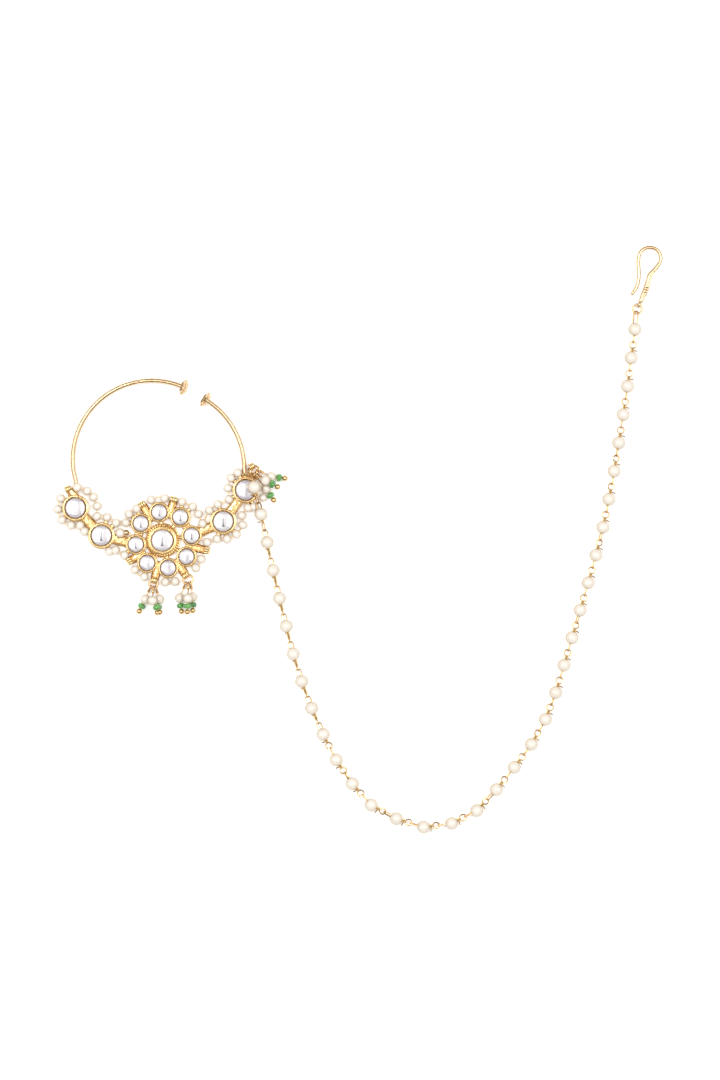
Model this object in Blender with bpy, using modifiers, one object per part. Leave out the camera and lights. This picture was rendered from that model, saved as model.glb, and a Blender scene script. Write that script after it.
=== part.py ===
# Nath nose ring. An open gold hoop carries a row of stone settings with
# seed-pearl borders, three bunches of bead drops, and a pearl chain that ends
# in a hair hook. It lies on its flat back at z = 0 and is seen from +Z, with
# the chain running to +X and the top of the hoop at +Y.

import math

import bmesh
import bpy
from mathutils import Matrix, Vector

mm = 0.001

# Driving sizes: stones and their settings
side_stone_radius = 3.3 * mm
centre_stone_radius = 3.55 * mm
petal_stone_radius = 2.5 * mm
stone_clearance = 0.15 * mm
bezel_wall = 0.65 * mm
petal_bezel_wall = 0.5 * mm
bezel_height = 2.5 * mm
bezel_floor = 0.9 * mm
girdle_depth = 0.45 * mm
table_rise = 0.5 * mm
table_share = 0.55

# Driving sizes: the medallion of eight petals
petal_count = 8
petal_ring_radius = 8.8 * mm
petal_ring_offset = (0.45 * mm, 0.1 * mm)
first_petal_angle = 9.0
rope_radius = 4.75 * mm
rope_thickness = 0.95 * mm
back_plate_radius = 5.35 * mm
strap_width = 1.3 * mm
strap_bottom = 0.2 * mm
strap_top = 1.2 * mm

# Driving sizes: barrels that carry the strings and jump rings
barrel_ring_radius = 12.9 * mm
barrel_outer = 1.15 * mm
barrel_hole = 0.72 * mm
barrel_length = 1.8 * mm
barrel_height = 1.25 * mm
barrel_sides = 6
stem_width = 0.9 * mm
web_width = 2.0 * mm

# Driving sizes: the hoop and its end flowers
hoop_wire = 1.45 * mm
hoop_left_start = (-27.06 * mm, 18.25 * mm)
hoop_left_radius = 24.76 * mm
hoop_left_angles = (196.0, 67.5)
hoop_right_start = (25.5 * mm, 22.47 * mm)
hoop_right_radius = 25.09 * mm
hoop_right_angles = (0.0, 56.5)
hoop_step = 7.0
flower_radius = 2.7 * mm
flower_lobe = 0.28 * mm
flower_lobes = 6
flower_thickness = 0.9 * mm

# Driving sizes: strings, chain, drops and hook
seed_radius = 1.2 * mm
pearl_radius = 2.0 * mm
chain_count = 35
chain_wire = 0.44 * mm
chain_loop_radius = 0.9 * mm
chain_loop_length = 3.0 * mm
chain_eye_height = 0.52 * mm
chain_eye_sides = 6
chain_loop_sides = 8
ring_sides = 10
end_eye_height = 0.78 * mm
wire_bite = 0.1 * mm
jump_wire = 0.56 * mm
drop_wire = 0.4 * mm
drop_eye_radius = 0.78 * mm
drop_eye_sides = 8
drop_pearl_radius = 1.5 * mm
drop_bead_radius = 1.22 * mm
drop_bead_length = 1.9 * mm
drop_ball_radius = 0.8 * mm
bead_gap = 0.12 * mm
end_eye_slack = 0.18 * mm
hook_wire = 1.15 * mm
hook_shank_length = 6.7 * mm
hook_ring_radius = 1.45 * mm
hook_eye_radius = 0.88 * mm
hook_eye_wire = 0.7 * mm

# Side settings, outwards from the medallion: name, x and y in mm, petal or
# setting that its strap runs to
side_settings = [
    ("left_inner", -19.0, 1.5, "petal_5"),
    ("left_outer", -27.1, 10.1, "left_inner"),
    ("right_inner", 19.0, 5.9, "petal_1"),
    ("right_outer", 26.0, 15.7, "right_inner"),
]

# Barrels round the medallion: number of the gap between petals, how far the
# barrel lies outside its ring, and the radius of a jump ring that hangs there,
# in mm
medallion_barrels = [
    (2, 0.1, None),
    (3, 0.1, None),
    (5, -0.4, None),
    (6, 0.0, 1.35),
    (7, 0.0, 1.55),
    (8, 0.8, None),
]

# Barrels on the outer settings: setting, angle, distance from its centre and
# turn of the barrel's axis, in degrees and mm
setting_barrels = [
    ("left_outer", 112.0, 6.4, 22.0),
    ("right_outer", 75.4, 7.6, 22.0),
]

# Strings of seed pearls: name, then route points as setting, angle, and how
# far the string lies outside its rim and above the back, in mm
seed_strings = [
    ("upper_left", [
        ("left_outer", 84.0, 1.15, 2.85), ("left_outer", 56.0, 1.15, 1.6),
        ("left_outer", 31.0, 1.25, 1.35), ("left_outer", 5.0, 1.45, 1.35),
        ("left_inner", 103.0, 0.85, 1.9), ("left_inner", 73.0, 0.7, 1.35),
        ("left_inner", 41.0, 0.7, 1.35), ("petal_4", 177.0, 0.4, 1.35),
        ("petal_4", 142.0, 0.5, 1.35), ("petal_4", 107.0, 0.45, 1.35),
    ]),
    ("top", [
        ("petal_3", 124.0, 0.35, 1.35), ("petal_3", 96.0, 0.45, 1.35), ("petal_3", 70.0, 0.3, 1.35),
    ]),
    ("upper_right", [
        ("petal_2", 84.0, 0.5, 1.35), ("petal_2", 41.0, 0.7, 1.35),
        ("petal_2", 10.0, 1.35, 1.35), ("right_inner", 171.0, 1.1, 1.85),
        ("right_inner", 142.0, 0.3, 1.35), ("right_inner", 108.0, 0.35, 1.35),
        ("right_outer", 209.0, 0.7, 2.0), ("right_outer", 174.0, 0.35, 1.35),
        ("right_outer", 141.0, 0.7, 1.35), ("right_outer", 115.0, 0.65, 1.5),
    ]),
    ("lower_left", [
        ("left_outer", 147.0, 0.25, 1.35), ("left_outer", 184.0, 0.35, 1.35),
        ("left_outer", 221.0, 0.35, 1.35), ("left_outer", 255.0, 0.3, 1.35),
        ("left_outer", 284.5, 0.3, 1.35), ("left_inner", 166.0, 0.2, 1.35),
    ]),
    ("middle_left", [
        ("left_inner", 296.0, 0.25, 1.35), ("left_inner", 314.0, 1.0, 1.35),
        ("petal_5", 223.0, 0.55, 1.35),
    ]),
    ("bottom_left", [
        ("petal_6", 209.0, 0.15, 1.35), ("petal_6", 235.0, 0.35, 1.35), ("petal_6", 258.0, 0.15, 1.35),
    ]),
    ("bottom", [
        ("petal_7", 258.0, 0.2, 1.35), ("petal_7", 278.0, 0.4, 1.35), ("petal_7", 297.0, 0.45, 1.35),
    ]),
    ("bottom_right", [
        ("petal_8", 309.0, 0.2, 1.35), ("petal_8", 330.0, 0.35, 1.35), ("petal_8", 350.5, 0.25, 1.35),
    ]),
    ("lower_right", [
        ("petal_1", 337.0, 0.9, 1.35), ("right_inner", 250.0, 0.5, 1.35),
        ("right_inner", 282.0, 0.3, 1.35), ("right_inner", 316.0, 0.4, 1.35),
        ("right_inner", 350.0, 0.85, 1.35), ("right_inner", 18.0, 0.75, 1.35),
        ("right_outer", 277.0, 0.3, 1.35), ("right_outer", 297.0, 0.5, 1.35),
    ]),
]

# Drops: name, bunch, angle on the jump ring, pearl's x and y from the bunch's
# barrel and z above the back in mm, turn and dip of its tail
drops = [
    ("left_front", "left", 225.0, -2.74, -5.91, 1.55, -117.5, 4.0),
    ("left_top", "left", 268.0, -0.29, -6.26, 4.3, -62.0, 4.0),
    ("left_back", "left", 304.0, 1.61, -5.91, 1.55, -97.0, 5.0),
    ("right_front", "right", 240.0, -1.84, -7.05, 1.55, -82.0, 4.0),
    ("right_top", "right", 276.0, 0.91, -7.1, 4.45, -92.0, 2.0),
    ("right_back", "right", 305.0, 2.26, -6.75, 1.55, -90.0, 5.0),
    ("side_front", "side", 348.0, 6.08, -3.16, 1.55, -7.0, 4.0),
    ("side_top", "side", 315.0, 4.28, -4.46, 3.95, -27.0, 6.0),
    ("side_back", "side", 284.0, 4.43, -6.96, 1.55, -56.0, 4.0),
]
side_ring_radius = 1.75 * mm
side_ring_tilt = 40.0
first_eye_turn = 34.0

# Route of the pearl chain: x, y and z in mm
chain_route = [
    (28.7, 16.5, 4.75), (30.8, 8.0, 2.6), (36.5, -18.0, 2.05), (43.4, -43.9, 2.05),
    (53.5, -67.2, 2.05), (63.9, -81.3, 2.05), (71.5, -86.1, 2.05), (81.3, -89.4, 2.05),
    (90.4, -88.2, 2.05), (98.0, -84.3, 2.05), (110.1, -70.3, 2.05), (119.8, -55.1, 2.05),
    (128.0, -29.5, 2.05), (137.6, 4.9, 2.05), (143.8, 39.7, 2.05), (147.4, 65.8, 2.05),
]

# Hook: x and y in mm, from the free tip round the bow to the shank
hook_route = [
    (146.6, 77.0), (148.0, 79.1), (148.55, 81.5), (148.7, 84.0), (148.5, 86.6),
    (148.85, 89.2), (150.1, 90.9), (152.2, 91.45), (154.2, 90.8), (155.4, 89.0),
    (155.3, 86.9), (153.7, 84.7), (152.0, 82.9), (151.4, 80.7),
]
hook_shank_angle = 251.0


def clear_scene():
    for old in list(bpy.data.objects):
        bpy.data.objects.remove(old, do_unlink=True)


def make_collection(name):
    collection = bpy.data.collections.new(name)
    bpy.context.scene.collection.children.link(collection)
    return collection


def make_material(name, colour, metallic, roughness):
    material = bpy.data.materials.new(name)
    material.use_nodes = True
    shader = material.node_tree.nodes["Principled BSDF"]
    shader.inputs["Base Color"].default_value = (*colour, 1.0)
    shader.inputs["Metallic"].default_value = metallic
    shader.inputs["Roughness"].default_value = roughness
    return material


def polar(centre, radius, degrees):
    """Point at a radius and an angle from a centre, in the plane of the back."""
    angle = math.radians(degrees)
    return Vector((centre[0] + radius * math.cos(angle), centre[1] + radius * math.sin(angle)))


def direction(turn, dip=0.0):
    """Unit vector at an angle in the plane of the back, dipping towards it."""
    turn = math.radians(turn)
    dip = math.radians(dip)
    return Vector((math.cos(turn) * math.cos(dip), math.sin(turn) * math.cos(dip), -math.sin(dip)))


def along(start, x_axis, z_axis):
    """Matrix at a point whose x runs along one direction and z near another."""
    x_axis = x_axis.normalized()
    y_axis = z_axis.cross(x_axis).normalized()
    z_axis = x_axis.cross(y_axis)
    matrix = Matrix((x_axis, y_axis, z_axis)).transposed().to_4x4()
    matrix.translation = start
    return matrix


def place_object(name, mesh, collection, matrix=None):
    piece = bpy.data.objects.new(name, mesh)
    collection.objects.link(piece)
    if matrix is not None:
        piece.matrix_world = matrix
    return piece


def turned_mesh(profile, steps, closed=False):
    """Mesh of a profile of (radius, height) turned round z by a Screw."""
    mesh = bpy.data.meshes.new("profile")
    last = len(profile) - 1
    edges = [(index, index + 1) for index in range(last)]
    if closed:
        edges.append((last, 0))
    mesh.from_pydata([(radius, 0.0, height) for radius, height in profile], edges, [])
    piece = place_object("profile", mesh, bpy.context.scene.collection)
    screw = piece.modifiers.new("turn", "SCREW")
    screw.steps = steps
    screw.render_steps = steps
    screw.use_merge_vertices = True
    screw.merge_threshold = 0.001 * mm
    return baked_mesh(piece)


def baked_mesh(piece):
    """Mesh of an object as its modifiers leave it; the object is removed."""
    bpy.context.view_layer.update()
    graph = bpy.context.evaluated_depsgraph_get()
    mesh = bpy.data.meshes.new_from_object(piece.evaluated_get(graph))
    matrix = piece.matrix_world.copy()
    bpy.data.objects.remove(piece, do_unlink=True)
    shape = bmesh.new()
    shape.from_mesh(mesh)
    bmesh.ops.remove_doubles(shape, verts=shape.verts, dist=0.001 * mm)
    bmesh.ops.transform(shape, matrix=matrix, verts=shape.verts)
    shape.to_mesh(mesh)
    shape.free()
    return mesh


def wire_curve(name, points, radius, collection, resolution=2):
    """Curve object for a wire or string through some points."""
    curve = bpy.data.curves.new(name, "CURVE")
    curve.dimensions = "3D"
    curve.bevel_depth = radius
    curve.bevel_resolution = resolution
    curve.use_fill_caps = True
    spline = curve.splines.new("POLY")
    spline.points.add(len(points) - 1)
    for point, place in zip(spline.points, points):
        point.co = (*place, 1.0)
    return place_object(name, curve, collection)


def wire_mesh(points, radius, resolution=2):
    return baked_mesh(wire_curve("wire", points, radius, bpy.context.scene.collection, resolution))


def link_mesh(radius, stretch, wire, segments):
    """Link in the xy plane, drawn out along x by a stretch to either side."""
    bpy.ops.mesh.primitive_torus_add(
        major_segments=segments, minor_segments=5, major_radius=radius, minor_radius=wire / 2)
    piece = bpy.context.object
    if segments % 4 == 0:
        piece.rotation_euler.z = math.pi / segments
    mesh = baked_mesh(piece)
    for vertex in mesh.vertices:
        vertex.co.x += math.copysign(stretch, vertex.co.x)
    return mesh


def ball_mesh(radius):
    mesh = bpy.data.meshes.new("ball")
    shape = bmesh.new()
    bmesh.ops.create_uvsphere(shape, u_segments=10, v_segments=4, radius=radius)
    shape.to_mesh(mesh)
    shape.free()
    return mesh


def rod_mesh(length, radius):
    """Rod from the origin along +X."""
    mesh = bpy.data.meshes.new("rod")
    shape = bmesh.new()
    bmesh.ops.create_cone(
        shape, cap_ends=True, segments=5, radius1=radius, radius2=radius, depth=length)
    bmesh.ops.rotate(shape, matrix=Matrix.Rotation(math.pi / 2, 3, "Y"), verts=shape.verts)
    bmesh.ops.translate(shape, vec=(length / 2, 0, 0), verts=shape.verts)
    shape.to_mesh(mesh)
    shape.free()
    return mesh


def strap_mesh(start, end, width):
    """Flat strap between two points of the back, raised off it a little."""
    run = end - start
    mesh = bpy.data.meshes.new("strap")
    shape = bmesh.new()
    bmesh.ops.create_cube(shape, size=1.0)
    bmesh.ops.scale(shape, vec=(run.length, width, strap_top - strap_bottom), verts=shape.verts)
    centre = ((start + end) / 2).to_3d()
    centre.z = (strap_bottom + strap_top) / 2
    turn = Matrix.Rotation(math.atan2(run.y, run.x), 4, "Z")
    bmesh.ops.transform(shape, matrix=Matrix.Translation(centre) @ turn, verts=shape.verts)
    shape.to_mesh(mesh)
    shape.free()
    return mesh


def stamped_mesh(copies):
    """One mesh of many loose copies, each a mesh and its matrix."""
    shape = bmesh.new()
    for mesh, matrix in copies:
        before = len(shape.verts)
        shape.from_mesh(mesh)
        shape.verts.ensure_lookup_table()
        bmesh.ops.transform(shape, matrix=matrix, verts=shape.verts[before:])
    joined = bpy.data.meshes.new("copies")
    shape.to_mesh(joined)
    shape.free()
    return joined


def fuse(name, meshes, material):
    """One object of several meshes that overlap, joined by a Boolean union."""
    piece = place_object(name, meshes[0], parts)
    piece.data.name = name
    piece.data.materials.append(material)
    joined = bpy.data.collections.new(name + "_joined")
    cutters.children.link(joined)
    for number, mesh in enumerate(meshes[1:], 1):
        mesh.materials.append(material)
        other = place_object(f"{name}_joined_{number}", mesh, joined)
        other.hide_render = True
        other.display_type = "WIRE"
    union = piece.modifiers.new("union", "BOOLEAN")
    union.operation = "UNION"
    union.operand_type = "COLLECTION"
    union.collection = joined
    union.solver = "EXACT"
    return piece


def finish(name, mesh, material, matrix=None):
    """Object of one plain mesh, shaded smooth."""
    mesh.name = name
    mesh.materials.append(material)
    mesh.shade_smooth()
    mesh.set_sharp_from_angle(angle=math.radians(30))
    return place_object(name, mesh, parts, matrix)


# Settings, each with its centre, stone and rim
def setting_table():
    """Every setting by name: centre, stone radius and rim radius."""
    table = {"centre": (Vector((0.0, 0.0)), centre_stone_radius,
                        centre_stone_radius + stone_clearance + bezel_wall)}
    for number in range(petal_count):
        centre = polar(petal_ring_offset, petal_ring_radius, petal_angle(number))
        rim = petal_stone_radius + stone_clearance + petal_bezel_wall
        table[f"petal_{number + 1}"] = (centre, petal_stone_radius, rim)
    for name, x, y, neighbour in side_settings:
        rim = side_stone_radius + stone_clearance + bezel_wall
        table[name] = (Vector((x * mm, y * mm)), side_stone_radius, rim)
    return table


def petal_angle(number):
    return first_petal_angle + number * 360.0 / petal_count


def bezel_mesh(stone_radius, rim, steps):
    """Cup that a stone sits in."""
    hole = stone_radius + stone_clearance
    return turned_mesh([
        (0.0, bezel_floor), (hole, bezel_floor), (hole, bezel_height),
        (rim, bezel_height), (rim, 0.0), (0.0, 0.0),
    ][::-1], steps)


def centre_bezel_mesh(rim, steps):
    """Centre cup, with the rope ring round it on a wider plate."""
    hole = centre_stone_radius + stone_clearance
    rope_top = strap_top + rope_thickness / 2
    return turned_mesh([
        (0.0, bezel_floor), (hole, bezel_floor), (hole, bezel_height), (rim, bezel_height),
        (rim, strap_top), (rope_radius, rope_top),
        (rope_radius + rope_thickness / 2, strap_top),
        (back_plate_radius, strap_bottom), (back_plate_radius - strap_bottom, 0.0), (0.0, 0.0),
    ][::-1], steps)


def stone_mesh(radius, steps):
    """Flat-topped stone with a row of crown facets over a foiled point."""
    girdle = bezel_height - girdle_depth
    return turned_mesh([
        (0.0, bezel_height + table_rise), (radius * table_share, bezel_height + table_rise),
        (radius, girdle), (0.0, bezel_floor + stone_clearance),
    ], steps)


def barrel_mesh():
    """Short tube along x."""
    half = barrel_length / 2
    mesh = turned_mesh([
        (barrel_hole, half), (barrel_outer, half), (barrel_outer, -half), (barrel_hole, -half),
    ], barrel_sides, closed=True)
    mesh.transform(Matrix.Rotation(math.pi / 2, 4, "Y"))
    return mesh


def barrel_pieces(centre, toward, turn, width):
    """Barrel at a point, with the strap that carries it."""
    run = centre - toward
    strap = strap_mesh(toward, centre - run.normalized() * (barrel_hole + barrel_outer) / 2, width)
    matrix = Matrix.Translation((*centre, barrel_height)) @ Matrix.Rotation(math.radians(turn), 4, "Z")
    barrel = barrel_mesh()
    barrel.transform(matrix)
    return [strap, barrel]


def flower_mesh(centre, normal):
    """Lobed disc at an end of the hoop, square to the wire."""
    curve = bpy.data.curves.new("flower", "CURVE")
    curve.dimensions = "2D"
    curve.fill_mode = "BOTH"
    curve.extrude = flower_thickness / 2
    spline = curve.splines.new("POLY")
    count = flower_lobes * 3
    spline.points.add(count - 1)
    for number, point in enumerate(spline.points):
        turn = number * math.tau / count
        radius = flower_radius - flower_lobe * (1 - math.cos(flower_lobes * turn))
        point.co = (radius * math.cos(turn), radius * math.sin(turn), 0.0, 1.0)
    spline.use_cyclic_u = True
    piece = place_object("flower", curve, bpy.context.scene.collection)
    up = Vector((0, 0, 1))
    piece.matrix_world = along(centre, up, normal)
    return baked_mesh(piece)


def hoop_pieces(start, radius, angles, root):
    """Wire of one side of the hoop, from its setting up to its end flower."""
    first, last = angles
    centre = polar(start, -radius, first)
    count = round(abs(last - first) / hoop_step)
    points = [Vector((*root, hoop_wire / 2 + strap_bottom / 2))]
    for number in range(count + 1):
        share = number / count
        rise = hoop_wire / 2 + strap_bottom + (flower_radius - hoop_wire / 2 - strap_bottom) * share
        flat = polar(centre, radius, first + (last - first) * share)
        points.append(Vector((*flat, rise)))
    tip = points[-1]
    onward = (tip - points[-2]).normalized()
    onward.z = 0.0
    return [wire_mesh(points, hoop_wire / 2), flower_mesh(tip, onward)]


def make_frame(settings, gold):
    """All the soldered gold: settings, straps, barrels, hoop and flowers."""
    ring_centre = Vector(petal_ring_offset)
    rims = {name: rim for name, (centre, stone, rim) in settings.items()}
    meshes = [centre_bezel_mesh(rims["centre"], 16)]
    copies = []
    for name, (centre, stone_radius, rim) in settings.items():
        if name != "centre":
            steps = 10 if name.startswith("petal") else 12
            copies.append((bezel_mesh(stone_radius, rim, steps), Matrix.Translation((*centre, 0))))
    meshes.append(stamped_mesh(copies))
    for number in range(petal_count):
        centre = settings[f"petal_{number + 1}"][0]
        inner = centre - (centre - ring_centre).normalized() * (rims["petal_1"] - petal_bezel_wall / 2)
        meshes.append(strap_mesh(inner.normalized() * rope_radius, inner, strap_width))
    barrels = {gap: out * mm for gap, out, ring in medallion_barrels}
    joint_radius = petal_ring_radius * math.cos(math.pi / petal_count)
    petal_gap = 2 * (petal_ring_radius * math.sin(math.pi / petal_count) - rims["petal_1"])
    for number in range(petal_count):
        turn = petal_angle(number + 0.5)
        joint = polar(ring_centre, joint_radius - strap_width / 2, turn)
        joint_end = polar(ring_centre, joint_radius + strap_width / 2, turn)
        meshes.append(strap_mesh(joint, joint_end, petal_gap + 2 * petal_bezel_wall))
        if number + 1 in barrels:
            centre = polar(ring_centre, barrel_ring_radius + barrels[number + 1], turn)
            meshes += barrel_pieces(centre, joint, turn + 90, web_width)
    for name, x, y, neighbour in side_settings:
        start, end = settings[name][0], settings[neighbour][0]
        run = (end - start).normalized()
        start = start + run * (rims[name] - bezel_wall / 2)
        end = end - run * (rims[neighbour] - petal_bezel_wall / 2)
        meshes.append(strap_mesh(start, end, strap_width * 2))
    for name, angle, distance, turn in setting_barrels:
        centre = settings[name][0]
        wall = polar(centre, rims[name] - bezel_wall / 2, angle)
        meshes += barrel_pieces(polar(centre, distance * mm, angle), wall, turn, stem_width)
    left_root = polar(settings["left_outer"][0], rims["left_outer"] - bezel_wall / 2, 90)
    right_root = polar(settings["right_outer"][0], rims["right_outer"] - bezel_wall / 2, 94)
    meshes += hoop_pieces(hoop_left_start, hoop_left_radius, hoop_left_angles, left_root)
    meshes += hoop_pieces(hoop_right_start, hoop_right_radius, hoop_right_angles, right_root)
    fused.append(("gold_frame", meshes, gold))


def make_stones(settings, stone):
    for name, (centre, radius, rim) in settings.items():
        steps = 10 if name.startswith("petal") else 12
        matrix = Matrix.Translation((*centre, 0))
        finish(f"stone_{name}", stone_mesh(radius, steps), stone, matrix)


def smooth_route(points, pieces=12):
    """Points of the smooth curve (Catmull-Rom) through the given ones."""
    points = [Vector(point) for point in points]
    before = 2 * points[0] - points[1]
    after = 2 * points[-1] - points[-2]
    points = [before] + points + [after]
    curve = []
    for a, b, c, d in zip(points, points[1:], points[2:], points[3:]):
        for step in range(pieces):
            t = step / pieces
            curve.append(0.5 * (2 * b + (c - a) * t + (2 * a - 5 * b + 4 * c - d) * t ** 2
                                + (3 * b - a - 3 * c + d) * t ** 3))
    curve.append(points[-2])
    return curve


def even_points(curve, count):
    """A number of points at even spacing along a curve."""
    lengths = [0.0]
    for first, second in zip(curve, curve[1:]):
        lengths.append(lengths[-1] + (second - first).length)
    result = []
    index = 0
    for number in range(count):
        target = lengths[-1] * number / (count - 1)
        while index < len(curve) - 2 and lengths[index + 1] < target:
            index += 1
        share = (target - lengths[index]) / (lengths[index + 1] - lengths[index])
        result.append(curve[index].lerp(curve[index + 1], share))
    return result


def string_points(settings, route):
    """Route of a seed string in metres."""
    points = []
    for name, angle, out, height in route:
        centre, stone, rim = settings[name]
        flat = polar(centre, rim + out * mm + seed_radius, angle)
        points.append(Vector((*flat, height * mm)))
    return points


def make_seed_strings(settings, seed):
    for name, route in seed_strings:
        points = string_points(settings, route)
        piece = wire_curve(f"seed_string_{name}", points, seed_radius, parts)
        piece.data.materials.append(seed)


def ring_frame(centre, radius, outward, tilt):
    """Matrix of a jump ring: x away from its barrel, tilted up from the back."""
    away = direction(outward, -tilt)
    side = Vector((-away.y, away.x, 0.0))
    return along(centre, away, away.cross(side))


def ring_point(frame, radius, outward, angle):
    """Centre of a jump ring's wire at an angle seen from above."""
    turn = math.radians(angle - outward)
    return frame @ Vector((radius * math.cos(turn), radius * math.sin(turn), 0.0))


def jump_rings(settings):
    """Each bunch's jump ring: frame, radius, direction from its barrel, and barrel."""
    rings = {}
    ring_centre = Vector(petal_ring_offset)
    for (gap, out, radius), bunch in zip([row for row in medallion_barrels if row[2]], ("left", "right")):
        outward = petal_angle(gap - 0.5)
        barrel = polar(ring_centre, barrel_ring_radius + out * mm, outward)
        rings[bunch] = hung_ring(barrel, radius * mm, outward, 0.0)
    name, angle, distance, turn = setting_barrels[1]
    barrel = polar(settings[name][0], distance * mm, angle)
    rings["side"] = hung_ring(barrel, side_ring_radius, turn - 90, side_ring_tilt)
    return rings


def hung_ring(barrel, radius, outward, tilt):
    """Ring through a barrel's hole, pulled outwards."""
    half = barrel_length / 2
    slack = (radius - math.sqrt(radius ** 2 - half ** 2)) / 2
    start = Vector((*barrel, barrel_height))
    centre = start + direction(outward, -tilt) * (radius - slack)
    return ring_frame(centre, radius, outward, tilt), radius, outward, barrel


def make_jump_rings(rings, gold):
    for bunch, (frame, radius, outward, barrel) in rings.items():
        mesh = link_mesh(radius, 0.0, jump_wire, ring_sides)
        finish(f"jump_ring_{bunch}", mesh, gold, frame)


def drop_beads_mesh():
    """Pearl, green bead and gold ball on their pin, from the pearl's centre along x."""
    pearl, bead, ball = drop_pearl_radius, drop_bead_radius, drop_ball_radius
    bead_start = pearl
    ball_start = bead_start + drop_bead_length
    mesh = turned_mesh([
        (0.0, ball_start + 2 * ball), (ball, ball_start + 1.3 * ball), (ball, ball_start + 0.8 * ball),
        (drop_wire, ball_start), (bead, ball_start - drop_bead_length * 0.25),
        (bead, bead_start + drop_bead_length * 0.25), (drop_wire, bead_start),
        (pearl * 0.72, pearl * 0.7), (pearl, 0.0), (pearl * 0.72, -pearl * 0.7), (0.0, -pearl),
    ], 10)
    mesh.transform(Matrix.Rotation(math.pi / 2, 4, "Y"))
    return mesh


def make_drops(rings, pearl):
    up = Vector((0, 0, 1))
    for name, bunch, angle, x, y, z, turn, dip in drops:
        frame, radius, outward, barrel = rings[bunch]
        wire = ring_point(frame, radius, outward, angle)
        centre = barrel.to_3d() + Vector((x, y, z)) * mm
        neck = (centre - wire).normalized()
        tail = direction(turn, dip)
        eye = wire + neck * bead_gap
        eye_edge = eye + neck * drop_eye_radius
        beads = drop_beads_mesh()
        beads.transform(along(centre, tail, up))
        eye_mesh = link_mesh(drop_eye_radius, 0.0, drop_wire, drop_eye_sides)
        side = (ring_point(frame, radius, outward, angle + 5) - wire).normalized()
        eye_mesh.transform(along(eye, neck, side))
        neck_mesh = rod_mesh((centre - eye_edge).length, drop_wire * 0.6)
        neck_mesh.transform(along(eye_edge, neck, up))
        fused.append((f"drop_{name}", [beads, eye_mesh, neck_mesh], pearl))


def hook_places():
    """Hook's shank end, its eye's centre and the centre of its jump ring."""
    start = Vector((hook_route[-1][0] * mm, hook_route[-1][1] * mm))
    end = polar(start, hook_shank_length, hook_shank_angle)
    down = direction(hook_shank_angle).to_2d()
    eye = end + down * hook_eye_radius
    ring = eye + down * hook_ring_radius
    return start, end, eye, ring


def make_hook(gold):
    start, end, eye, ring = hook_places()
    level = hook_eye_radius + hook_wire * 0.3
    bow = [Vector((x * mm, y * mm, level)) for x, y in hook_route]
    across = direction(hook_shank_angle + 90)
    shank = [*bow, Vector((*end, level))]
    doubled_start = Vector((*start.lerp(end, 0.1), level)) + across * hook_wire * 0.8
    doubled_end = Vector((*start.lerp(end, 0.97), level)) + across * hook_wire * 0.35
    eye_mesh = link_mesh(hook_eye_radius, 0.0, hook_eye_wire, ring_sides)
    eye_mesh.transform(along(Vector((*eye, level)), direction(hook_shank_angle), across))
    fused.append(("hair_hook", [
        wire_mesh(shank, hook_wire / 2, 1),
        wire_mesh([doubled_start, doubled_end], hook_wire / 2, 1),
        eye_mesh], gold))
    mesh = link_mesh(hook_ring_radius, 0.0, jump_wire, ring_sides)
    finish("jump_ring_hook", mesh, gold, Matrix.Translation((*ring, level)))
    return Vector((*(ring + direction(hook_shank_angle).to_2d() * hook_ring_radius), level))


def make_chain(rings, hook_ring_wire, pearl):
    """Pearls on wire units, each loop holding the next unit's eye."""
    points = even_points(smooth_route([Vector(place) * mm for place in chain_route]), chain_count)
    frame, radius, outward, barrel = rings["side"]
    first_wire = ring_point(frame, radius, outward, outward - first_eye_turn)
    loose = jump_wire / 2 + end_eye_slack
    up = Vector((0, 0, 1))
    loop_near = pearl_radius - chain_wire
    loop_far = pearl_radius + chain_loop_length
    loop_place = (loop_near + loop_far) / 2
    balls = [(ball_mesh(pearl_radius), along(points[0], points[1] - points[0], up))]
    stretch = (loop_far - loop_near) / 2 - chain_loop_radius
    loop = link_mesh(chain_loop_radius, stretch, chain_wire, chain_loop_sides)
    loops, eyes = [], []
    eyes.append(eye_copy(points[0], first_wire, loose, end_eye_height, chain_loop_sides))
    for here, there in zip(points, points[1:]):
        run = (there - here).normalized()
        ball = balls[0][0]
        balls.append((ball, along(there, run, up)))
        loops.append((loop, along(here + run * loop_place, run, up)))
        eyes.append(eye_copy(
            there, here + run * loop_far, chain_wire / 2 - wire_bite, chain_eye_height, chain_eye_sides))
    eyes.append(eye_copy(points[-1], hook_ring_wire, loose, end_eye_height, chain_loop_sides))
    fused.append(("pearl_chain", [stamped_mesh(balls), stamped_mesh(loops), stamped_mesh(eyes)], pearl))


def eye_copy(pearl, wire, clear, height, sides):
    """Upright eye that reaches from a pearl round a wire."""
    run = wire - pearl
    near = pearl_radius - chain_wire
    far = run.length + clear + chain_wire / 2
    mesh = link_mesh(height, (far - near) / 2 - height, chain_wire, sides)
    run.normalize()
    across = Vector((-run.y, run.x, 0.0)).normalized()
    return mesh, along(pearl + run * (near + far) / 2, run, across)


clear_scene()
parts = make_collection("nath_nose_ring")
cutters = make_collection("joined_shapes")
fused = []
gold = make_material("gold", (0.78, 0.53, 0.2), 1.0, 0.28)
pearl = make_material("pearl", (0.85, 0.79, 0.68), 0.0, 0.3)
seed = make_material("seed_pearl", (0.88, 0.84, 0.75), 0.0, 0.3)
stone = make_material("foiled_stone", (0.8, 0.79, 0.82), 0.4, 0.12)

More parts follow.
